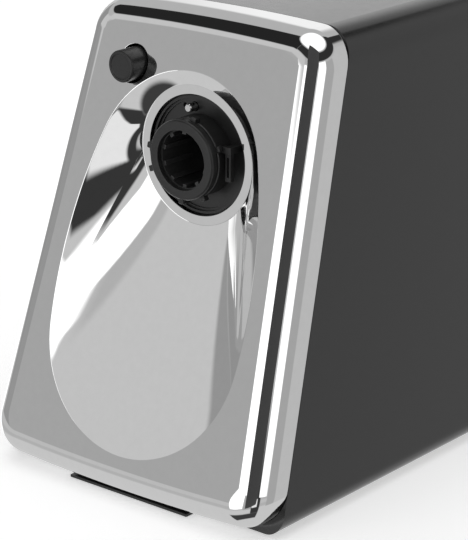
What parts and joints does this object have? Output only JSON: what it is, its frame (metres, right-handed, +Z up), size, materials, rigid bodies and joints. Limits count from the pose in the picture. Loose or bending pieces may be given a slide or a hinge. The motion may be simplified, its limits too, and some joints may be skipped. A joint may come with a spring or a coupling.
{
  "type": "meat grinder drive base",
  "caption": "Electric meat grinder drive base: tilted chromed front with an oval scoop, splined coupling tube, release button and black two-part body.",
  "frame": {"origin": "on the table under the middle of the body", "axes": "+Z up, front with the coupling towards -Y, +X to the right as seen from the front"},
  "size_m": [0.1786, 0.263, 0.2315],
  "materials": {
    "chrome_plate": "bright mirror chrome plating on plastic",
    "gloss_black": "glossy moulded black",
    "matte_black": "satin moulded black",
    "dark_nylon": "glass-filled black nylon",
    "white_nylon": "natural nylon with a film of grease",
    "grey_plastic": "dark grey moulded plastic",
    "rubber": "matte black rubber",
    "zinc_steel": "zinc plated steel",
    "pin_steel": "bright turned steel",
    "bronze": "sintered bronze",
    "lamination_steel": "stacked electrical steel",
    "copper_wire": "varnished copper wire",
    "copper_bars": "turned copper bars",
    "cast_bracket": "die cast",
    "carbon": "pressed carbon",
    "board_green": "circuit board"
  },
  "bodies": {
    "base": {"base_plate": "matte_black", "base_screws": "zinc_steel", "brush_holders": "bronze", "carbon_brushes": "carbon", "control_board": "board_green", "cord_gland": "rubber", "coupling_tube": "matte_black", "cover_screws": "zinc_steel", "field_coils": "copper_wire", "field_core": "lamination_steel", "foot_back_left": "rubber", "foot_back_right": "rubber", "foot_front_left": "rubber", "foot_front_right": "rubber", "front_bearing": "zinc_steel", "front_cover": "chrome_plate", "gear_case_front": "grey_plastic", "gear_case_rear": "grey_plastic", "head_mount": "matte_black", "housing_screws": "zinc_steel", "lay_gear_pin": "zinc_steel", "left_housing": "gloss_black", "motor_bolts": "zinc_steel", "motor_bracket": "cast_bracket", "output_bush": "bronze", "rear_bearing": "zinc_steel", "release_spring": "zinc_steel", "right_housing": "gloss_black", "switch_body": "matte_black"},
    "output": {"output_socket": "dark_nylon", "output_gear": "white_nylon"},
    "lay": {"lay_gear": "white_nylon"},
    "rotor": {"motor_shaft": "zinc_steel", "motor_pinion": "zinc_steel", "armature_core": "lamination_steel", "armature_windings": "copper_wire", "commutator": "copper_bars", "cooling_fan": "grey_plastic"},
    "release": {"release_button": "matte_black", "release_link": "zinc_steel", "lock_pin": "pin_steel"},
    "rocker": {"power_rocker": "gloss_black"}
  },
  "joints": [
    {"name": "output_spin", "type": "hinge", "parent": "base", "child": "output", "pos_m": [0, -0.07054, 0.1619], "axis": [0, 1, 0], "continuous": true},
    {"name": "lay_spin", "type": "hinge", "parent": "base", "child": "lay", "pos_m": [0, -0.07054, 0.1034], "axis": [0, 1, 0], "continuous": true},
    {"name": "rotor_spin", "type": "hinge", "parent": "base", "child": "rotor", "pos_m": [0, -0.07054, 0.065], "axis": [0, 1, 0], "continuous": true},
    {"name": "release_press", "type": "slide", "parent": "base", "child": "release", "axis": [0, 1, 0], "range_m": [0, 0.005], "stiffness_N_per_m": 500, "springref_m": -0.004, "deforming": ["release_spring"]},
    {"name": "power_tilt", "type": "hinge", "parent": "base", "child": "rocker", "pos_m": [-0.07922, 0.04, 0.11985], "axis": [0, 1, 0], "range_deg": [-8, 8]}
  ],
  "couplings": [
    {"joint": "lay_spin", "follows": "output_spin", "ratio": -5.5},
    {"joint": "rotor_spin", "follows": "output_spin", "ratio": 38.5}
  ]
}
